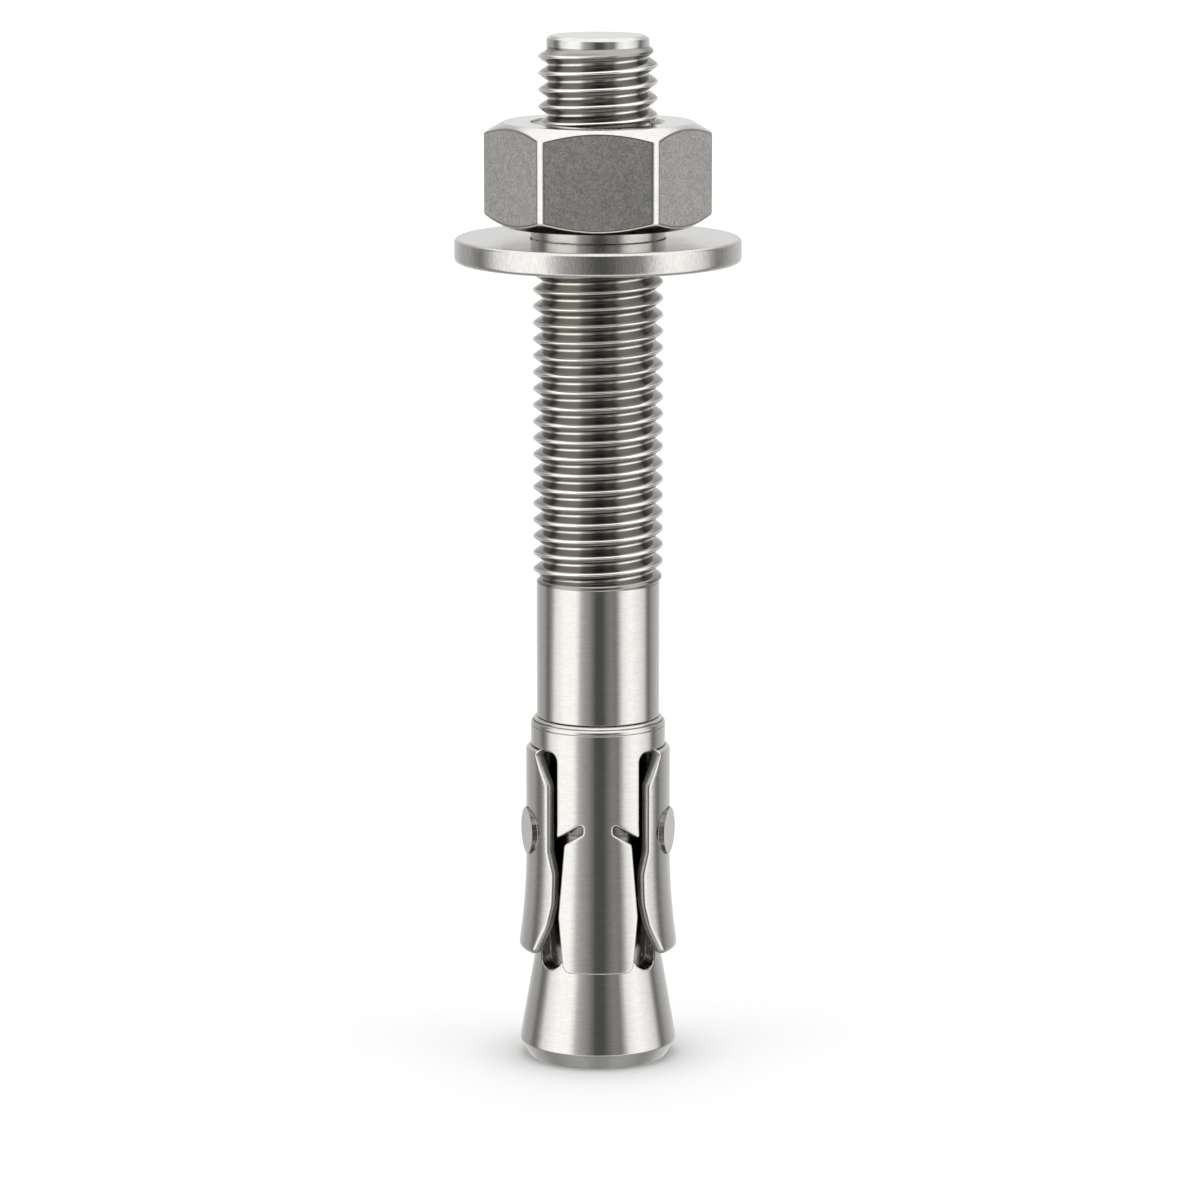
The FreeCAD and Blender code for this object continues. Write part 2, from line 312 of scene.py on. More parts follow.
def lathe(mesh, profile, columns, closed=False):
    """Turns a profile of (radius, height) about Z into the bmesh, with a pole where the radius is 0."""
    rings = []
    for radius, height in profile:
        if radius < 1e-9:
            rings.append([mesh.verts.new((0.0, 0.0, height))])
            continue
        ring = []
        for i in range(columns):
            angle = 2 * math.pi * i / columns
            ring.append(mesh.verts.new((radius * math.cos(angle), radius * math.sin(angle), height)))
        rings.append(ring)
    faces = []
    for low, high in zip(rings, rings[1:] + (rings[:1] if closed else [])):
        for i in range(columns):
            j = i + 1
            corners = [low[i % len(low)], low[j % len(low)], high[j % len(high)], high[i % len(high)]]
            corners = list(dict.fromkeys(corners))
            if len(corners) > 2:
                faces.append(mesh.faces.new(corners))
    return faces


def made_piece(name, mesh, finishes, sharp=None):
    """Object of this mesh, shaded smooth, with its finishes in its material slots."""
    for finish in finishes:
        if finish.name not in mesh.materials:
            mesh.materials.append(finish)
    mesh.shade_smooth()
    piece = bpy.data.objects.new(name, mesh)
    bpy.context.scene.collection.objects.link(piece)
    if sharp:
        mesh.set_sharp_from_angle(angle=math.radians(sharp))
    return piece


STUD_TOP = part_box("anchor_stud")[1].z
TIP_RADIUS = 6.15 * MM
SUPPORT = 0.15 * MM
TIP_START = STUD_TOP - 1.25 * MM
TIP_CHAMFER_ACROSS = 0.5 * MM
TIP_CHAMFER_DOWN = 0.35 * MM
SHANK_RADIUS = 7.45 * MM
SHANK_TOP = 58.9 * MM
SHOULDER = 42.4 * MM
NECK_RADIUS = 6.3 * MM
CONE_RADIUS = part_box("anchor_stud")[1].x
FOOT_RADIUS = 8.4 * MM
FOOT_CHAMFER = 2.0 * MM
CONE_TOP = FOOT_CHAMFER + (CONE_RADIUS - NECK_RADIUS) / math.tan(math.radians(9.85))
CREST_AT_LEFT = 60.5 * MM
FLUTE_HALF = 2.1 * MM
FLUTE_CENTRE = 11.75 * MM + FLUTE_HALF
FLUTE_ANGLE = math.radians(49.5)
FLUTE_FLOOR = 0.985 * NECK_RADIUS
FLUTE_STEPS = 24
FLUTE_EDGE = 0.18 * MM
WELD_REACH = 0.04 * MM
START_RUN_OUT = 1.0 * MM
END_RUN_OUT = 0.9 * MM
FLUTE_MARGIN = 0.2 * MM
THREADED, SHADED_NECK, SHADED_FLUTE = range(1, 4)


def bar_below_thread():
    """The shank, neck and cone, turned as one open shell that ends where the thread starts."""
    bar = bmesh.new()
    rows = 30
    cone = []
    for k in range(1, rows):
        share = k / rows
        radius = NECK_RADIUS + (CONE_RADIUS - NECK_RADIUS) * share
        cone.append((radius, CONE_TOP + (FOOT_CHAMFER - CONE_TOP) * share, 0))
    lathe(bar, rounded([
        (SHANK_RADIUS, SHANK_TOP, 0),
        (SHANK_RADIUS, SHOULDER, 0.12 * MM),
        (NECK_RADIUS, SHOULDER, 0.15 * MM),
        (NECK_RADIUS, CONE_TOP, 0.3 * MM),
        *cone,
        (CONE_RADIUS, FOOT_CHAMFER, 0.2 * MM),
        (FOOT_RADIUS, 0.0, 0.06 * MM),
        (0.0, 0.0, 0),
    ], 4, SUPPORT), COLUMNS)
    bmesh.ops.recalc_face_normals(bar, faces=bar.faces)
    mesh = bpy.data.meshes.new("bar")
    bar.to_mesh(mesh)
    bar.free()
    return mesh


def flute_tool(turn):
    """U-shaped cutter that opens the top of the cone down to the neck, and ends in the neck's curve."""
    tool = bmesh.new()
    outer = CONE_RADIUS + 3 * MM
    top = CONE_TOP - 0.6 * MM
    outline = [(FLUTE_HALF, top), (-FLUTE_HALF, top)]
    for step in range(FLUTE_STEPS + 1):
        angle = math.pi * (1 + step / FLUTE_STEPS)
        outline.append((FLUTE_HALF * math.cos(angle), FLUTE_CENTRE + FLUTE_HALF * math.sin(angle)))
    rows = [[], []]
    for x, z in outline:
        rows[0].append(tool.verts.new((x, -outer, z)))
        rows[1].append(tool.verts.new((x, -math.sqrt(FLUTE_FLOOR ** 2 - x ** 2), z)))
    count = len(outline)
    tool.faces.new(rows[0])
    for i in range(count):
        j = (i + 1) % count
        tool.faces.new((rows[0][i], rows[1][i], rows[1][j], rows[0][j]))
    lowest = 2 + FLUTE_STEPS // 2
    left = rows[1][1:lowest + 1]
    right = [rows[1][0]] + rows[1][lowest:][::-1]
    steps = 8
    grid = []
    for a, b in zip(left, right):
        line = [a]
        for k in range(1, steps):
            x = a.co.x + (b.co.x - a.co.x) * k / steps
            line.append(tool.verts.new((x, -math.sqrt(FLUTE_FLOOR ** 2 - x ** 2), a.co.z)))
        grid.append(line + [b])
    for low, high in zip(grid, grid[1:]):
        for k in range(steps):
            corners = list(dict.fromkeys([low[k], low[k + 1], high[k + 1], high[k]]))
            if len(corners) > 2:
                tool.faces.new(corners)
    bmesh.ops.remove_doubles(tool, verts=tool.verts, dist=1e-7)
    bmesh.ops.recalc_face_normals(tool, faces=tool.faces)
    bmesh.ops.rotate(tool, verts=tool.verts, cent=(0, 0, 0), matrix=Matrix.Rotation(turn, 3, "Z"))
    mesh = bpy.data.meshes.new("flute")
    tool.to_mesh(mesh)
    tool.free()
    return mesh


def finished_mesh(piece):
    """The piece's mesh with its modifiers worked in."""
    graph = bpy.context.evaluated_depsgraph_get()
    graph.update()
    return bpy.data.meshes.new_from_object(piece.evaluated_get(graph), depsgraph=graph)


def fluted_bar():
    """The bar with its four flutes milled and their edges broken."""
    bar = made_piece("bar", bar_below_thread(), [turned_steel])
    tools = []
    for turn in (FLUTE_ANGLE, -FLUTE_ANGLE, math.pi - FLUTE_ANGLE, math.pi + FLUTE_ANGLE):
        tool = made_piece("flute", flute_tool(turn), [turned_steel])
        cut = bar.modifiers.new("flute", "BOOLEAN")
        cut.operation = "DIFFERENCE"
        cut.solver = "EXACT"
        cut.object = tool
        tools.append(tool)
    weld = bar.modifiers.new("weld", "WELD")
    weld.merge_threshold = WELD_REACH
    edges = bar.modifiers.new("edges", "BEVEL")
    edges.width = FLUTE_EDGE
    edges.segments = 2
    edges.limit_method = "ANGLE"
    edges.angle_limit = math.radians(50)
    edges.use_clamp_overlap = False
    mesh = finished_mesh(bar)
    for piece in tools + [bar]:
        bpy.data.objects.remove(piece)
    return mesh


def in_flute(radius, height):
    """Whether a place of the stud's skin lies below the cone's own surface, in one of its flutes."""
    cone = CONE_RADIUS + (NECK_RADIUS - CONE_RADIUS) * (height - FOOT_CHAMFER) / (CONE_TOP - FOOT_CHAMFER)
    return FLUTE_CENTRE - FLUTE_HALF - FLUTE_MARGIN < height < CONE_TOP and radius < cone - 0.15 * MM


def stud():
    """The whole stud: fluted bar, thread and plain tip, joined along their shared circles."""
    whole = bmesh.new()
    whole.from_mesh(fluted_bar())
    turns = math.ceil((TIP_START - SHANK_TOP) / PITCH) + 2
    crest_foot = CREST_AT_LEFT - PITCH / 2
    thread = threaded("thread", {
        "Helix foot": crest_foot - PITCH * math.ceil((crest_foot - SHANK_TOP) / PITCH + 1),
        "Start": SHANK_TOP,
        "End": TIP_START,
        "Pitch": PITCH,
        "Crest radius": THREAD_CREST,
        "Root radius": THREAD_CREST - THREAD_DEPTH,
        "Start radius": SHANK_RADIUS,
        "End radius": TIP_RADIUS,
        "Start run-out": START_RUN_OUT,
        "End run-out": END_RUN_OUT,
        "Narrowing": STUB_NARROWING,
        "Narrowing foot": NARROWING_FOOT,
        "Narrowing top": NARROWING_TOP,
        "Columns": COLUMNS,
        "Rows a turn": ROWS_A_TURN,
        "Turns": turns,
        "Finish": shaded_thread_steel,
    })
    whole.from_mesh(thread)
    # Painted shade: the neck gets the dark steel, and the flutes a darker steel than the cone.
    for face in whole.faces:
        middle = face.calc_center_median()
        if middle.z > SHANK_TOP:
            face.material_index = THREADED
        elif CONE_TOP < middle.z < SHOULDER - 0.1 * MM:
            face.material_index = SHADED_NECK
        elif in_flute(math.hypot(middle.x, middle.y), middle.z):
            face.material_index = SHADED_FLUTE
    lathe(whole, rounded([
        (TIP_RADIUS, TIP_START, 0),
        (TIP_RADIUS, STUD_TOP - TIP_CHAMFER_DOWN, 0.2 * MM),
        (TIP_RADIUS - TIP_CHAMFER_ACROSS, STUD_TOP, 0.1 * MM),
        (0.0, STUD_TOP, 0),
    ], 5, SUPPORT), COLUMNS)
    bmesh.ops.remove_doubles(whole, verts=whole.verts, dist=0.003 * MM)
    bmesh.ops.recalc_face_normals(whole, faces=whole.faces)
    mesh = bpy.data.meshes.new("stud")
    whole.to_mesh(mesh)
    whole.free()
    return made_piece("threaded_stud", mesh, [turned_steel, shaded_thread_steel, shade_painted_steel, shaded_flute_steel], 80)


stud_piece = stud()
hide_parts("anchor_stud")
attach(stud_piece, "stud")


# The expansion clip: one piece of stainless sheet, cut flat with its slits, pressed with its buttons, and
# rolled loosely round the neck. Its leaves are joggled outwards, and its edges are rolled over and dull
# where they were sheared. Its creases and the buttons' flanks are painted dark, as shade.
SHEET = 1.3 * MM
RING_RADIUS = 8.18 * MM
RING_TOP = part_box("expansion_clip")[1].z
RING_BOTTOM = RING_TOP - 3.5 * MM
RING_ROLL_DEPTH = 0.7 * MM
RING_ROLL_HEIGHT = 0.9 * MM
RING_WAIST = 0.15 * MM
WAIST_PLACE = 0.66
WAIST_WIDTH = 0.13
RING_GROOVE = 0.09 * MM
GROOVE_WIDTH = 0.045 * MM
GROOVE_DOWN = RING_ROLL_HEIGHT + 0.08 * MM
RING_CREASES = (0.33 * MM, GROOVE_DOWN)
RING_CREASE_HALF = 0.04 * MM
LOWER_EDGE = 0.26 * MM
TONGUE_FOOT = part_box("expansion_clip")[0].z
TONGUE_FOOT_RADIUS = 9.37 * MM
BEND = 29.85 * MM
LEAF_STEP = 0.6 * MM
LEAF_CREASE_HALF = 0.065 * MM
SHOULDER_HEIGHT = 0.6 * MM
SHOULDER_END = RING_BOTTOM - 1.3 * MM
LEAF_FOOT = 13.5 * MM
LEAF_FOOT_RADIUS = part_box("expansion_clip")[1].x
LEAF_FLARE = 26.0 * MM
LEAF_FOOT_ROLL_DEPTH = 0.5 * MM
LEAF_FOOT_ROLL_HEIGHT = 0.9 * MM
QUARTER = RING_RADIUS * math.pi / 2
BUTTON_ACROSS = RING_RADIUS * math.radians(76.5)
BUTTON_HEIGHT = 28.4 * MM
BUTTON_RISE = 0.2 * MM
BUTTON_FACE = 2.8 * MM
BUTTON_BASE = 2.98 * MM
BUTTON_CIRCLES = (0.6, 1.2, 1.8, 2.3, 2.6, 2.74, 2.8, 2.83, 2.89, 2.95, 2.98, 3.04, 3.18)
BUTTON_COLUMNS = 56
BUTTON_CLEARANCE = BUTTON_BASE + 0.3 * MM
LEAF_STRETCH = 1.07
PANEL_SIDE = 5.45 * MM
SHOULDER_SIDE = PANEL_SIDE + 1.9 * MM
LOWER_EDGE_SIDE = PANEL_SIDE + 2.0 * MM
SLIT = 0.78 * MM
TONGUE_ROOT = 4.3 * MM
HIP_SLIT = 1.08 * MM
SLOT_BRIDGE = 1.85 * MM
SLOT_WIDTH = 1.1 * MM
SLOT_ANGLE = math.radians(30.0)
SLOT_END = 0.45 * SLOT_WIDTH
SEAM = RING_RADIUS * math.radians(137.0)
SEAM_HALF = 0.25 * MM
EDGE_ROLL = 0.24 * MM
LEAF_EDGE_ROLL = 0.42 * MM
LEAF_EDGE_REACH = 1.5 * MM
TOP_EDGE_ROLL = 0.1 * MM
EDGE_STEPS = 4
SPACING = 0.3 * MM
ROW_CLEARANCE = 0.12 * MM
PRESSED, CUT_EDGE, SHADED_CREASE = range(3)
pressed_steel = steel("pressed_steel", BARE_STEEL, 0.1, 0.06, brushed((500.0, 500.0, 6500.0)), 0.006 * MM)
cut_edge_steel = steel(
    "cut_edge_steel", (0.62, 0.605, 0.58), 0.5, 0.1, brushed((900.0, 900.0, 3000.0)), 0.004 * MM)


def slot_edge(across):
    """Height of the slanting slot's upper edge at this distance from the panel's middle."""
    return BEND + SLOT_WIDTH / 2 - (across - SLOT_BRIDGE) * math.tan(SLOT_ANGLE)


def quarter_outline():
    """Lower edge of the flat sheet from the middle of a tongue to the middle of the next leaf."""
    leaf = PANEL_SIDE + SLIT
    leaf_hip = TONGUE_ROOT + HIP_SLIT
    leaf_top_side = QUARTER - 4.4 * MM
    drop = SLOT_WIDTH / math.cos(SLOT_ANGLE)
    leaf_top = RING_BOTTOM - SHOULDER_HEIGHT
    corners = [
        (0.0, TONGUE_FOOT, 0),
        (3.9 * MM, TONGUE_FOOT, 1.0 * MM),
        (4.78 * MM, 18.8 * MM, 1.5 * MM),
        (TONGUE_ROOT, slot_edge(TONGUE_ROOT) - drop, 0.6 * MM),
        (SLOT_BRIDGE, slot_edge(SLOT_BRIDGE) - drop, SLOT_END),
        (SLOT_BRIDGE, slot_edge(SLOT_BRIDGE), SLOT_END),
        (PANEL_SIDE, slot_edge(PANEL_SIDE), 0.25 * MM),
        (PANEL_SIDE, RING_BOTTOM, 1.1 * MM),
        (leaf_top_side, RING_BOTTOM, 0.1 * MM),
        (leaf_top_side, leaf_top, 0.25 * MM),
        (leaf, leaf_top - 3.4 * MM, 1.2 * MM),
        (leaf, 26.6 * MM, 1.6 * MM),
        (leaf_hip, 23.9 * MM, 1.6 * MM),
        (leaf_hip, 20.2 * MM, 4.0 * MM),
        (leaf_hip + 0.62 * MM, LEAF_FOOT + 3.9 * MM, 4.0 * MM),
        (QUARTER - 4.95 * MM, LEAF_FOOT, 1.6 * MM),
        (QUARTER, LEAF_FOOT, 0),
    ]
    return rounded(corners, 8)


def even(outline, spacing):
    """The closed outline with its long runs divided, so that no step is longer than the spacing."""
    points = []
    for here, after in zip(outline, outline[1:] + outline[:1]):
        steps = max(1, math.ceil((after - here).length / spacing))
        points += [here.lerp(after, step / steps) for step in range(steps)]
    return points


def sheet_outline():
    """Closed outline of the whole flat sheet, from one side of the seam round to the other."""
    quarter = quarter_outline()
    half = quarter + [Vector((2 * QUARTER - p.x, p.y)) for p in reversed(quarter[:-1])]
    whole = half + [Vector((p.x + 2 * QUARTER, p.y)) for p in half[1:]]
    under_ring = [i for i, p in enumerate(whole[:len(half)]) if abs(p.y - RING_BOTTOM) < 1e-7]
    cut = max(i for i in under_ring if whole[i].x < SEAM)
    turned = [Vector((p.x - 4 * QUARTER, p.y)) for p in whole[cut + 1:-1]]
    lower = turned + whole[:cut + 1]
    left = SEAM - 4 * QUARTER + SEAM_HALF
    right = SEAM - SEAM_HALF
    ends = [(right, RING_BOTTOM), (right, RING_TOP), (left, RING_TOP), (left, RING_BOTTOM)]
    return even(lower + [Vector(end) for end in ends], SPACING)


def beside_panel(across):
    """Distance along the flat sheet from the middle of the nearest panel."""
    return abs((across + QUARTER) % (2 * QUARTER) - QUARTER)


def edge_roll(point):
    """How wide the cut edge is rolled over here: least at the ring's top, most along the leaves."""
    if point.y > RING_TOP - 0.01 * MM:
        return TOP_EDGE_ROLL
    beside = beside_panel(point.x)
    above_slot = point.y > slot_edge(PANEL_SIDE)
    if beside < PANEL_SIDE + SLIT / 2 and (above_slot or beside < TONGUE_ROOT + HIP_SLIT / 2):
        return EDGE_ROLL
    down = (RING_BOTTOM - SHOULDER_HEIGHT - point.y) / LEAF_EDGE_REACH
    return EDGE_ROLL + (LEAF_EDGE_ROLL - EDGE_ROLL) * min(1.0, max(0.0, down))


def inset(outline, share):
    """The outline moved into the sheet, which lies on its left, by this share of its edge's roll."""
    moved = []
    count = len(outline)
    for i, here in enumerate(outline):
        before = (here - outline[i - 1]).normalized()
        after = (outline[(i + 1) % count] - here).normalized()
        normal = Vector((-before.y - after.y, before.x + after.x))
        normal.normalize()
        stretch = max(0.35, normal.dot(Vector((-before.y, before.x))))
        moved.append(here + normal * (share * edge_roll(here) / stretch))
    return moved


def roll_drop(share):
    """How far a quarter-round edge has dropped, from 0 where it starts to 1 at its end."""
    return 1 - math.sqrt(max(0.0, 1 - max(0.0, share) ** 2))


def leaf_radius(height):
    """Outer radius of a leaf: stepped out under the ring, flared towards its foot, and rolled in there."""
    down = min(1.0, (RING_BOTTOM - height) / SHOULDER_HEIGHT)
    step = (LEAF_STEP + LOWER_EDGE) * (1 - roll_drop(1 - down))
    flare = max(0.0, (LEAF_FLARE - height) / (LEAF_FLARE - LEAF_FOOT)) ** 2
    step -= LEAF_FOOT_ROLL_DEPTH * roll_drop(1 - (height - LEAF_FOOT) / LEAF_FOOT_ROLL_HEIGHT)
    return RING_RADIUS - LOWER_EDGE + step + (LEAF_FOOT_RADIUS - RING_RADIUS - LEAF_STEP) * flare


def sheet_radius(across, height):
    """Outer radius of the rolled sheet at a place of the flat sheet, without its buttons."""
    beside = beside_panel(across)
    split = TONGUE_ROOT + HIP_SLIT / 2
    if height > SHOULDER_END:
        split = SHOULDER_SIDE
    elif height > slot_edge(PANEL_SIDE) - SLOT_WIDTH / 4:
        split = PANEL_SIDE + SLIT / 2
    if height < RING_BOTTOM and beside > split:
        return leaf_radius(height)
    if height < BEND:
        return RING_RADIUS + (TONGUE_FOOT_RADIUS - RING_RADIUS) * (BEND - height) / (BEND - TONGUE_FOOT)
    roll = max(0.0, (height - RING_TOP + RING_ROLL_HEIGHT) / RING_ROLL_HEIGHT)
    radius = RING_RADIUS - RING_ROLL_DEPTH * roll_drop(roll)
    radius -= RING_WAIST * math.exp(-((roll - WAIST_PLACE) / WAIST_WIDTH) ** 2)
    radius -= RING_GROOVE * math.exp(-((height - RING_TOP + GROOVE_DOWN) / GROOVE_WIDTH) ** 2)
    if beside > LOWER_EDGE_SIDE:
        radius -= LOWER_EDGE * roll_drop((RING_BOTTOM + LOWER_EDGE - height) / LOWER_EDGE)
    return radius


def from_button(across, height):
    """Distance from the middle of the nearer button. Across, a leaf is longer than the flat sheet."""
    return math.hypot((abs(across) - BUTTON_ACROSS) * LEAF_STRETCH, height - BUTTON_HEIGHT)


def button_rise(across, height, outer):
    """How far the button lifts the sheet here: a flat face square to its own axis, with sloping flanks."""
    best = 0.0
    for middle in (BUTTON_ACROSS, -BUTTON_ACROSS):
        angle = (across - middle) / RING_RADIUS
        away = math.hypot(angle * outer, height - BUTTON_HEIGHT)
        if away < BUTTON_BASE and abs(angle) < 1:
            flat = (outer + BUTTON_RISE) / math.cos(angle) - outer
            best = max(best, flat * min(1.0, (BUTTON_BASE - away) / (BUTTON_BASE - BUTTON_FACE)))
    return best


def in_crease(across, height):
    """Whether a place of the outer face is in a crease of the ring, over a leaf or on a button's flank,
    where shade is painted dark.
    """
    if BUTTON_FACE < from_button(across, height) < BUTTON_BASE:
        return True
    if beside_panel(across) > SHOULDER_SIDE and abs(height - RING_BOTTOM) < LEAF_CREASE_HALF:
        return True
    return any(abs(RING_TOP - height - down) < RING_CREASE_HALF for down in RING_CREASES)


def close_rows():
    """Heights of the rows of points that follow the sheet's small rolls, steps and grooves."""
    heights = [RING_BOTTOM + LOWER_EDGE * (1 - math.sin(math.pi / 8 * k)) for k in range(5)]
    heights += [RING_BOTTOM - SHOULDER_HEIGHT * (1 - math.cos(math.pi / 14 * k)) for k in range(1, 8)]
    heights += [RING_TOP - RING_ROLL_HEIGHT * (1 - math.sin(math.pi / 16 * k)) for k in range(5)]
    heights += [RING_TOP - RING_ROLL_HEIGHT - step * MM for step in (0.04, 0.08, 0.12, 0.16)]
    heights += [LEAF_FOOT + LEAF_FOOT_ROLL_HEIGHT * (1 - math.cos(math.pi / 10 * k)) for k in range(2, 6)]
    return heights


def sheet_nodes(edge):
    """Points all over the flat sheet: in even rows, and in circles round the buttons.

    Only those inside this edge, and not too near its own points, are kept."""
    nodes = []
    close = close_rows()
    heights = np.arange(TONGUE_FOOT, RING_TOP, SPACING)
    apart = np.abs(heights[:, None] - np.array(close)[None, :]).min(axis=1) > ROW_CLEARANCE
    rows = [(height, SPACING / 2 * (j % 2)) for j, height in enumerate(heights[apart])]
    rows += [(height, 0.0) for height in close]
    columns = np.arange(edge[:, 0].min(), edge[:, 0].max(), SPACING)
    for height, start in rows:
        for across in columns + start:
            if from_button(across, height) > BUTTON_CLEARANCE:
                nodes.append((across, height))
    for middle in (BUTTON_ACROSS, -BUTTON_ACROSS):
        nodes.append((middle, BUTTON_HEIGHT))
        for radius in BUTTON_CIRCLES:
            for k in range(BUTTON_COLUMNS):
                angle = 2 * math.pi * k / BUTTON_COLUMNS
                across = middle + radius * MM * math.cos(angle) / LEAF_STRETCH
                nodes.append((across, BUTTON_HEIGHT + radius * MM * math.sin(angle)))
    nodes = np.array(nodes)
    inside = np.zeros(len(nodes), bool)
    nearest = np.full(len(nodes), 1.0)
    for (x0, z0), (x1, z1) in zip(edge, np.roll(edge, -1, axis=0)):
        crosses = (z0 > nodes[:, 1]) != (z1 > nodes[:, 1])
        with np.errstate(divide="ignore", invalid="ignore"):
            limit = x0 + (nodes[:, 1] - z0) * (x1 - x0) / (z1 - z0)
        inside ^= crosses & (nodes[:, 0] < limit)
        nearest = np.minimum(nearest, np.hypot(nodes[:, 0] - x0, nodes[:, 1] - z0))
    return nodes[inside & (nearest > 0.45 * SPACING)]


def rolled(point, drop, inner):
    """The place in space of a point of the flat sheet, on its outer or inner face."""
    across, height = point
    radius = sheet_radius(across, height)
    if inner:
        radius -= SHEET - drop
    else:
        radius += button_rise(across, height, radius) - drop
    angle = across / RING_RADIUS
    return (radius * math.sin(angle), -radius * math.cos(angle), height)


def expansion_clip():
    """Rolls the flat sheet: both its faces, and the rolled edge between them."""
    outline = sheet_outline()
    count = len(outline)
    rings = []
    for k in range(EDGE_STEPS + 1):
        turn = math.pi / 2 * k / EDGE_STEPS
        drops = [edge_roll(point) * (1 - math.sin(turn)) for point in outline]
        rings.append((inset(outline, 1 - math.cos(turn)), drops))
    inner_ring = rings[-1][0]
    nodes = sheet_nodes(np.array([tuple(p) for p in inner_ring]))
    points = inner_ring + [Vector(p) for p in nodes]
    fixed = [(i, (i + 1) % count) for i in range(count)]
    flat_points, _, faces, origins, _, _ = delaunay_2d_cdt(points, fixed, [], 1, 1e-9)
    clip = bmesh.new()
    cut_edges = []
    for inner in (False, True):
        skin = []
        for ring, drops in rings[:-1]:
            skin.append([clip.verts.new(rolled(p, drop, inner)) for p, drop in zip(ring, drops)])
        middle = [clip.verts.new(rolled(p, 0.0, inner)) for p in flat_points]
        place = {}
        for new, olds in enumerate(origins):
            for old in olds:
                if old < count:
                    place[old] = middle[new]
        skin.append([place[i] for i in range(count)])
        for level, (low, high) in enumerate(zip(skin, skin[1:])):
            for i, j in fixed:
                corners = [low[i], low[j], high[j], high[i]]
                strip = clip.faces.new(corners[::-1] if inner else corners)
                strip.material_index = CUT_EDGE if level < EDGE_STEPS / 2 else PRESSED
        for face in faces:
            corners = [middle[i] for i in face]
            made = clip.faces.new(corners[::-1] if inner else corners)
            across, height = sum((flat_points[i] for i in face), Vector((0.0, 0.0))) / len(face)
            # Painted shade: the creases and the buttons' flanks get the dark steel.
            if not inner and in_crease(across, height):
                made.material_index = SHADED_CREASE
        cut_edges.append(skin[0])
    outer_edge, inner_edge = cut_edges
    for i, j in fixed:
        wall = clip.faces.new((outer_edge[j], outer_edge[i], inner_edge[i], inner_edge[j]))
        wall.material_index = CUT_EDGE
    bmesh.ops.recalc_face_normals(clip, faces=clip.faces)
    mesh = bpy.data.meshes.new("clip")
    clip.to_mesh(mesh)
    clip.free()
    return made_piece("pressed_clip", mesh, [pressed_steel, cut_edge_steel, shade_painted_steel])


clip_piece = expansion_clip()
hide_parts("expansion_clip")
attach(clip_piece, "clip")


# The flat washer: blanked from stainless strip and tumbled, so that its rim is rounded. Its rim keeps the
# fine upright marks of the blanking, and its faces are bright.
WASHER_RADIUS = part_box("flat_washer")[1].x
WASHER_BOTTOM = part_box("flat_washer")[0].z
WASHER_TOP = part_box("flat_washer")[1].z
WASHER_BORE = 8.15 * MM
WASHER_RIM = 0.7 * MM
WASHER_COLUMNS = 160
WASHER_TINT = (0.66, 0.647, 0.62)
washer_steel = steel(
    "washer_steel", WASHER_TINT, 0.16, 0.1, brushed((4500.0, 4500.0, 800.0), 1.5), 0.014 * MM, 0.1)
washer_face_steel = steel(
    "washer_face_steel", WASHER_TINT, 0.2, 0.1, brushed((1500.0, 1500.0, 1500.0)), 0.002 * MM)
washer_finishes = [washer_steel, washer_face_steel]
washer_mesh = bmesh.new()
lathe(washer_mesh, rounded([
    (WASHER_BORE, WASHER_BOTTOM, 0.2 * MM),
    (WASHER_RADIUS, WASHER_BOTTOM, 0.6 * MM),
    (WASHER_RADIUS, WASHER_TOP, 0.5 * MM),
    (WASHER_BORE, WASHER_TOP, 0.25 * MM),
], 6, SUPPORT), WASHER_COLUMNS, True)
for face in washer_mesh.faces:
    middle = face.calc_center_median()
    if math.hypot(middle.x, middle.y) < WASHER_RADIUS - WASHER_RIM:
        face.material_index = washer_finishes.index(washer_face_steel)
bmesh.ops.recalc_face_normals(washer_mesh, faces=washer_mesh.faces)
washer_data = bpy.data.meshes.new("washer")
washer_mesh.to_mesh(washer_data)
washer_mesh.free()
washer_piece = made_piece("round_washer", washer_data, washer_finishes, 60)
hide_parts("flat_washer")
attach(washer_piece, "washer")


# The nut: forged hexagon of stainless steel, its six flats left satin with fine marks in all directions,
# its corners and both its ends turned bright. Its thread runs on the stud's, and a plain bright collar
# stands between it and the washer.
NUT_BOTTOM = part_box("hex_nut")[0].z
NUT_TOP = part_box("hex_nut")[1].z
NUT_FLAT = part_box("hex_nut")[1].y
NUT_FACE = 11.4 * MM
NUT_BEVEL = 0.72 * MM
NUT_CORNER = 0.8 * MM
NUT_ROLL = 0.4 * MM
NUT_EDGE = 0.3 * MM
NUT_MOUTH = 8.1 * MM
NUT_CREST = 7.97 * MM
NUT_ROOT = 6.76 * MM
NUT_RUN_OUT = 1.2 * MM
COLLAR_BORE = 7.98 * MM
COLLAR_RADIUS = 8.13 * MM
COLLAR_BOTTOM = WASHER_TOP + 0.05 * MM
COLLAR_TOP = NUT_BOTTOM + 0.8 * MM
FLAT, BRIGHT, SHADED_RIM = range(3)


def scratched(density):
    """Height of fine scratches that wander in all directions, about this many to a metre."""
    def height(start, place):
        marks = start.node("ShaderNodeTexNoise", {"noise_type": "RIDGED_MULTIFRACTAL"}, {
            "Vector": place,
            "Scale": density,
            "Detail": 2.0,
            "Roughness": 0.5,
            "Offset": 1.0,
            "Gain": 1.6,
            "Distortion": 0.9,
        })
        soft = start.node("ShaderNodeTexNoise", {}, {"Vector": place, "Scale": 0.3 * density, "Detail": 2.0})
        ridges = start.node("ShaderNodeMapRange", {}, {"Value": marks, "From Min": 0.9, "From Max": 2.1})
        return 0.36 + 0.28 * ridges + 0.1 * soft
    return height


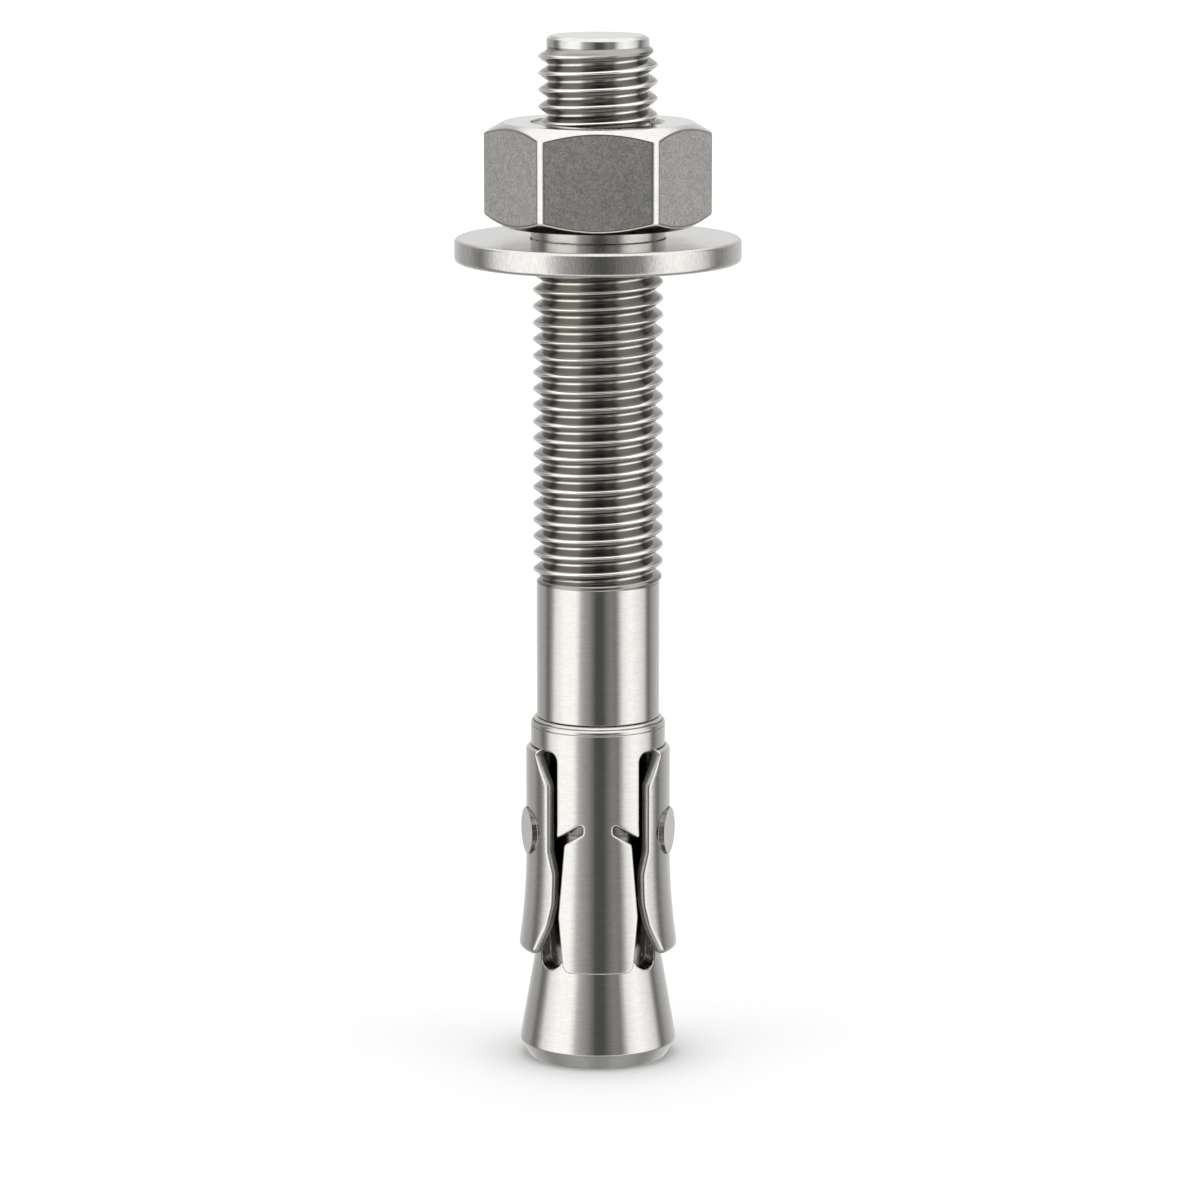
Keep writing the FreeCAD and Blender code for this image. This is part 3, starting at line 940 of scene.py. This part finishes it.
nut_flat_steel = steel(
    "nut_flat_steel", (0.77, 0.755, 0.725), 0.4, 0.12, scratched(2800.0), 0.03 * MM, 0.36)
nut_bright_steel = steel(
    "nut_bright_steel", (0.7, 0.685, 0.66), 0.13, 0.06, brushed((500.0, 500.0, 3000.0)), 0.003 * MM)
# Painted shade: a dark line of steel round the outline of each flat.
nut_rim_shade_steel = steel(
    "nut_rim_shade_steel", (0.3, 0.29, 0.275), 0.3, 0.06, brushed((500.0, 500.0, 3000.0)), 0.003 * MM)


def hexagon_columns():
    """(angle, radius, whether the next strip is on a flat) round a hexagon with bevelled corners."""
    half_turn = math.radians(30)
    half_flat = NUT_FLAT * math.tan(half_turn) - NUT_BEVEL / (2 * math.cos(half_turn))
    turns = [math.radians(60 * side + 30) for side in range(6)]
    normals = [Vector((math.cos(turn), math.sin(turn))) for turn in turns]
    corners = []
    for normal in normals:
        along = Vector((-normal.y, normal.x))
        for x in (-half_flat, half_flat):
            corners.append((*(normal * NUT_FLAT + along * x), NUT_CORNER))
    outline = even(rounded(corners, 4, SUPPORT), 1.2 * MM)
    columns = []
    for here, after in zip(outline, outline[1:] + outline[:1]):
        middle = (here + after) / 2
        on_flat = max(middle.dot(normal) for normal in normals) > NUT_FLAT - 0.001 * MM
        columns.append((math.atan2(here.y, here.x), here.length, on_flat))
    return columns


def hex_nut():
    """Each column of the nut runs up its flat between two chamfers that take off the corners.

    The strips that round off a flat's outline are painted darker, as a line of shade."""
    nut = bmesh.new()
    slope = math.tan(math.radians(30))
    rings = []
    columns = hexagon_columns()
    for angle, radius, _ in columns:
        drop = (radius - NUT_FACE) * slope
        profile = rounded([
            (NUT_FACE - 1.0 * MM, NUT_BOTTOM, 0),
            (NUT_FACE, NUT_BOTTOM, NUT_EDGE),
            (radius, NUT_BOTTOM + drop, NUT_ROLL),
            (radius, NUT_TOP - drop, NUT_ROLL),
            (NUT_FACE, NUT_TOP, NUT_EDGE),
            (NUT_FACE - 1.0 * MM, NUT_TOP, 0),
        ])
        ring = []
        for across, height in profile:
            ring.append(nut.verts.new((across * math.cos(angle), across * math.sin(angle), height)))
        rings.append(ring)
    for one, two, (_, _, on_flat) in zip(rings, rings[1:] + rings[:1], columns):
        for k in range(len(one) - 1):
            face = nut.faces.new((one[k], two[k], two[k + 1], one[k + 1]))
            face.material_index = FLAT if on_flat and k == len(one) // 2 - 1 else BRIGHT
    rims = []
    for face in nut.faces:
        beside = {other.material_index for edge in face.edges for other in edge.link_faces}
        if face.material_index == BRIGHT and FLAT in beside:
            rims.append(face)
    for face in rims:
        face.material_index = SHADED_RIM
    return nut


nut_body = hex_nut()
nut_thread = threaded("nut_thread", {
    "Helix foot": CREST_AT_LEFT - PITCH / 2 + PITCH * math.floor((NUT_BOTTOM - CREST_AT_LEFT) / PITCH - 1),
    "Start": NUT_BOTTOM,
    "End": NUT_TOP,
    "Pitch": PITCH,
    "Crest radius": NUT_CREST,
    "Root radius": NUT_ROOT,
    "Start radius": NUT_MOUTH,
    "End radius": NUT_MOUTH,
    "Start run-out": NUT_RUN_OUT,
    "End run-out": NUT_RUN_OUT,
    "Narrowing": 0.0,
    "Narrowing foot": NUT_BOTTOM,
    "Narrowing top": NUT_TOP,
    "Columns": COLUMNS,
    "Rows a turn": ROWS_A_TURN,
    "Turns": 9,
    "Finish": nut_bright_steel,
})
nut_thread.flip_normals()
outside = len(nut_body.faces)
nut_body.from_mesh(nut_thread)
nut_body.faces.ensure_lookup_table()
for face in nut_body.faces[outside:]:
    face.material_index = BRIGHT
for level in (NUT_BOTTOM, NUT_TOP):
    rims = [e for e in nut_body.edges if e.is_boundary and all(abs(v.co.z - level) < 1e-6 for v in e.verts)]
    bmesh.ops.bridge_loops(nut_body, edges=rims)
collar = lathe(nut_body, rounded([
    (COLLAR_BORE, COLLAR_BOTTOM, 0),
    (COLLAR_RADIUS, COLLAR_BOTTOM, 0.05 * MM),
    (COLLAR_RADIUS, COLLAR_TOP, 0),
    (COLLAR_BORE, COLLAR_TOP, 0),
], 3), COLUMNS, True)
for face in collar:
    face.material_index = BRIGHT
nut_data = bpy.data.meshes.new("nut")
bmesh.ops.recalc_face_normals(nut_body, faces=nut_body.faces)
nut_body.to_mesh(nut_data)
nut_body.free()
nut_piece = made_piece("hexagon_nut", nut_data, [nut_flat_steel, nut_bright_steel, nut_rim_shade_steel], 20)
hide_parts("hex_nut")
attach(nut_piece, "nut")


# The studio: a white floor that runs on into a white backdrop, and the soft grey and white screens of a
# still-life set all round, which the steel reflects as upright bands. The camera sees plain white there.
# Each stop gives the degrees round from the front and the brightness there.
SCREENS = (
    (-180, 0.85), (-141, 0.52), (-123, 0.45), (-110, 0.2), (-103, 0.3), (-97, 0.58), (-91, 1.0),
    (-85, 1.16), (-67, 1.43), (-45, 1.4), (-39, 1.1), (-34, 0.66), (-26, 0.46), (-18, 0.36),
    (-10, 0.22), (-4, 0.1), (9, 0.1), (19, 0.24), (26, 0.3), (35, 0.26), (41, 0.6), (47, 1.1),
    (58, 1.34), (67, 1.4), (86, 1.14), (97, 0.88), (104, 0.4), (110, 0.2), (123, 0.43), (141, 0.62),
    (180, 0.85),
)
BRIGHTEST = 1.5
CEILING = 1.35
UNDERFOOT = 0.34
UNDERFOOT_BANDS = 0.08
PAPER = 1.1
world = bpy.data.worlds.new("studio")
bpy.context.scene.world = world
world.use_nodes = True
world.node_tree.nodes.clear()
sky = Wire(world.node_tree)
direction = sky.node("ShaderNodeTexCoord", output="Generated")
side = sky.node("ShaderNodeSeparateXYZ", {}, {0: direction}, "X")
ahead = sky.node("ShaderNodeSeparateXYZ", {}, {0: direction}, "Y")
up = sky.node("ShaderNodeSeparateXYZ", {}, {0: direction}, "Z")
azimuth = sky.math("ARCTAN2", side, ahead * -1.0) * (0.5 / math.pi) + 0.5
bands = sky.node(
    "ShaderNodeValToRGB",
    {"stops": [(degrees / 360.0 + 0.5, value / BRIGHTEST) for degrees, value in SCREENS]},
    {"Fac": azimuth},
)
bands = sky.node("ShaderNodeSeparateColor", {}, {0: bands}, 0) * BRIGHTEST

# Overhead there is a pale ceiling, underfoot a dim floor, and low in front the lit edge of the paper.
light = bands + up.smooth(0.45, 0.75) * (CEILING - bands)
light = light + up.smooth(-0.6, -0.85) * (UNDERFOOT + UNDERFOOT_BANDS * bands - light)
paper = up.smooth(-0.6, -0.78) * up.smooth(-0.95, -0.86) * ahead.smooth(-0.15, -0.35)
light = light + paper * (PAPER - light)
seen = sky.node("ShaderNodeLightPath", output="Is Camera Ray")
light = light + seen * (1.0 - light)
backdrop = sky.node("ShaderNodeBackground", {}, {"Color": (1.0, 1.0, 1.0, 1.0), "Strength": light})
sky.node("ShaderNodeOutputWorld", {}, {"Surface": backdrop})

# The floor: a wide matt white sheet that takes the anchor's soft shadow. Right under the foot, where less
# light gets in, an ambient occlusion shadow is painted into its colour too, and the floor doesn't show in
# the steel.
FLOOR_REACH = 12.0
FLOOR_COLOUR = 0.965
CONTACT_REACH = 8.0 * MM
CONTACT_SHADE = 0.45
floor_mesh = bmesh.new()
bmesh.ops.create_grid(floor_mesh, x_segments=2, y_segments=2, size=FLOOR_REACH)
floor_data = bpy.data.meshes.new("floor")
floor_mesh.to_mesh(floor_data)
floor_mesh.free()
floor_white = bpy.data.materials.new("floor_white")
floor_white.use_nodes = True
floor_white.node_tree.nodes.clear()
white = Wire(floor_white.node_tree)
# Painted shadow: the ambient occlusion darkens the floor's colour close to the foot.
open_share = white.node("ShaderNodeAmbientOcclusion", {"samples": 16}, {"Distance": CONTACT_REACH}, "AO")
shade = 1.0 - CONTACT_SHADE + CONTACT_SHADE * open_share
matt = white.node("ShaderNodeBsdfDiffuse", {}, {"Color": FLOOR_COLOUR * shade})
white.node("ShaderNodeOutputMaterial", {}, {"Surface": matt})
floor = made_piece("floor", floor_data, [floor_white])
floor.visible_glossy = False

# The camera: a long lens in front of the anchor and a little above its top, tilted down at it.
CAMERA_DISTANCE = 0.6361
CAMERA_HEIGHT = 0.1728
CAMERA_SIDE = 0.24 * MM
CAMERA_TILT = 10.356
CAMERA_LENS = 159.7
camera = bpy.data.objects.new("camera", bpy.data.cameras.new("camera"))
bpy.context.scene.collection.objects.link(camera)
camera.location = (CAMERA_SIDE, -CAMERA_DISTANCE, CAMERA_HEIGHT)
camera.rotation_euler = (math.radians(90.0 - CAMERA_TILT), 0.0, 0.0)
camera.data.lens = CAMERA_LENS
camera.data.sensor_width = 36.0
camera.data.clip_end = 50.0
bpy.context.scene.camera = camera
bpy.context.scene.view_settings.view_transform = "Standard"
